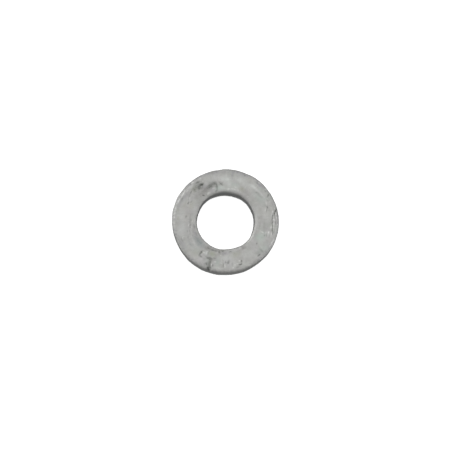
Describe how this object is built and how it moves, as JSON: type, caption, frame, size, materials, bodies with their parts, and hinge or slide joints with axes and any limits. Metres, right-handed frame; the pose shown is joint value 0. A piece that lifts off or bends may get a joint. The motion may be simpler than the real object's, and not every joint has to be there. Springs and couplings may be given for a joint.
{
  "type": "flat washer",
  "caption": "Plain round flat washer: a punched, galvanised steel ring with a central hole, for spreading a bolt's load.",
  "frame": {"origin": "centre of the hole at the lower bearing face", "axes": "+Z along the hole, from the lower bearing face to the upper one; the ring is round, so +X and +Y are free"},
  "size_m": [0.024, 0.024, 0.0025],
  "materials": {
    "galvanised_steel": "dull grey hot-dip zinc coat with a faint spangle, smudges and rolled-over edges"
  },
  "bodies": {
    "root": {"washer_ring": "galvanised_steel"}
  },
  "joints": []
}
